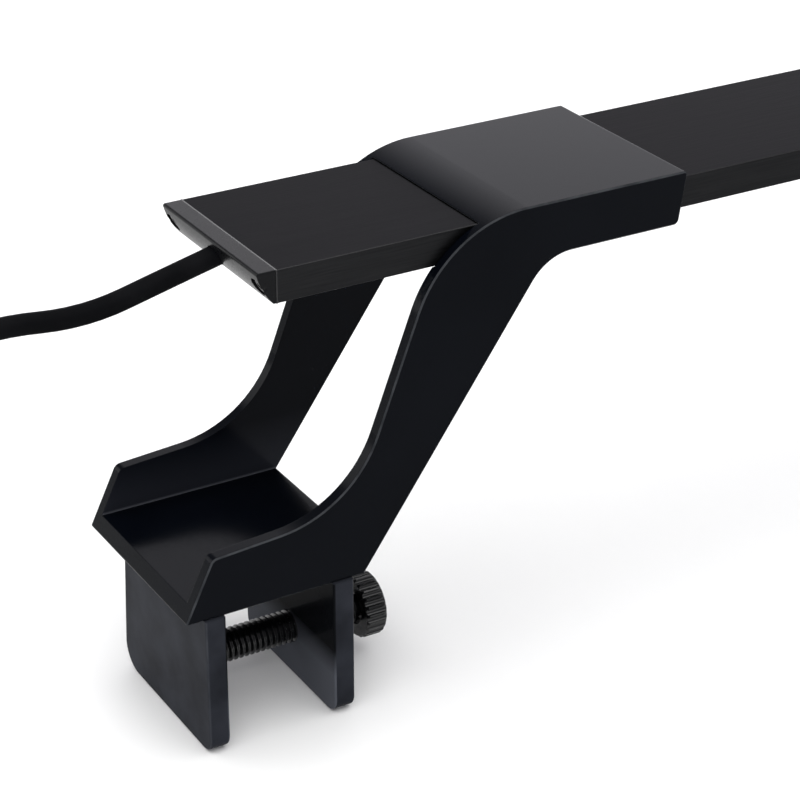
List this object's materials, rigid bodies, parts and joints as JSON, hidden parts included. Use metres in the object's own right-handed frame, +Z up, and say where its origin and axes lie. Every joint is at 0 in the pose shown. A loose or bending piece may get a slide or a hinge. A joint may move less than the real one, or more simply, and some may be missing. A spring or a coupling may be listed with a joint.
{
  "type": "led aquarium light",
  "caption": "Slim clip-on aquarium light bar on two sliding brackets, each clamped to the tank's rim by a thumb screw, with a round mains lead.",
  "frame": {"origin": "on the ground under the middle of the light, which stands on the four feet of its clamp jaws", "axes": "+X along the light bar, away from the lead's end; +Y across the bar; +Z up"},
  "size_m": [0.7376, 0.1067, 0.1471],
  "materials": {
    "bar_metal": "brushed, dark anodised",
    "cap_plastic": "semi-gloss moulded",
    "bracket_plastic": "satin moulded",
    "jaw_plastic": "satin moulded",
    "screw_plastic": "glossy moulded",
    "pad_rubber": "soft matte",
    "seal_rubber": "soft",
    "lens_clear": "clear acrylic",
    "board_white": "white coating on metal",
    "diode_white": "phosphor window in a white package",
    "diode_blue": "clear window over a blue die",
    "component_black": "moulded",
    "plain_steel": "zinc plated",
    "black_steel": "black oxide",
    "cord_sheath": "soft satin",
    "wire_brown": "smooth",
    "wire_blue": "smooth",
    "plug_plastic": "satin moulded",
    "pin_metal": "nickel plated",
    "tie_plastic": "flexible"
  },
  "bodies": {
    "lamp": {"lamp_housing": "bar_metal", "lens_cover": "lens_clear", "led_board": "board_white", "white_leds": "diode_white", "blue_leds": "diode_blue", "board_components": "component_black", "board_screws": "plain_steel", "end_cap_cable": "cap_plastic", "end_cap_blind": "cap_plastic", "end_seal_cable": "seal_rubber", "end_seal_blind": "seal_rubber", "end_screws_cable": "black_steel", "end_screws_blind": "black_steel", "live_wire": "wire_brown", "neutral_wire": "wire_blue", "cord": "cord_sheath", "cord_coil": "cord_sheath", "cord_tail": "cord_sheath", "coil_tie": "tie_plastic", "plug_body": "plug_plastic", "plug_relief": "plug_plastic", "plug_pins": "pin_metal"},
    "bracket_left": {"bracket_left": "bracket_plastic", "clamp_jaws_left": "jaw_plastic", "jaw_screws_left": "black_steel"},
    "pad_left": {"pressure_pad_left": "pad_rubber"},
    "screw_left": {"clamp_screw_left": "screw_plastic", "knob_left": "screw_plastic"},
    "bracket_right": {"bracket_right": "bracket_plastic", "clamp_jaws_right": "jaw_plastic", "jaw_screws_right": "black_steel"},
    "pad_right": {"pressure_pad_right": "pad_rubber"},
    "screw_right": {"clamp_screw_right": "screw_plastic", "knob_right": "screw_plastic"}
  },
  "joints": [
    {"name": "left_bracket_slide", "type": "slide", "parent": "lamp", "child": "bracket_left", "axis": [1, 0, 0], "range_m": [-0.05, 0.1]},
    {"name": "left_pad_slide", "type": "slide", "parent": "bracket_left", "child": "pad_left", "axis": [1, 0, 0], "range_m": [-0.005, 0.024]},
    {"name": "left_screw_turn", "type": "hinge", "parent": "pad_left", "child": "screw_left", "pos_m": [-0.24, -0.0055, 0.016], "axis": [1, 0, 0], "range_deg": [-1000, 4800]},
    {"name": "right_bracket_slide", "type": "slide", "parent": "lamp", "child": "bracket_right", "axis": [-1, 0, 0], "range_m": [-0.05, 0.1]},
    {"name": "right_pad_slide", "type": "slide", "parent": "bracket_right", "child": "pad_right", "axis": [-1, 0, 0], "range_m": [-0.005, 0.024]},
    {"name": "right_screw_turn", "type": "hinge", "parent": "pad_right", "child": "screw_right", "pos_m": [0.24, 0.0055, 0.016], "axis": [-1, 0, 0], "range_deg": [-1000, 4800]}
  ],
  "couplings": [
    {"joint": "left_pad_slide", "follows": "left_screw_turn", "m_per_rad": 0.00028648},
    {"joint": "right_pad_slide", "follows": "right_screw_turn", "m_per_rad": 0.00028648}
  ]
}
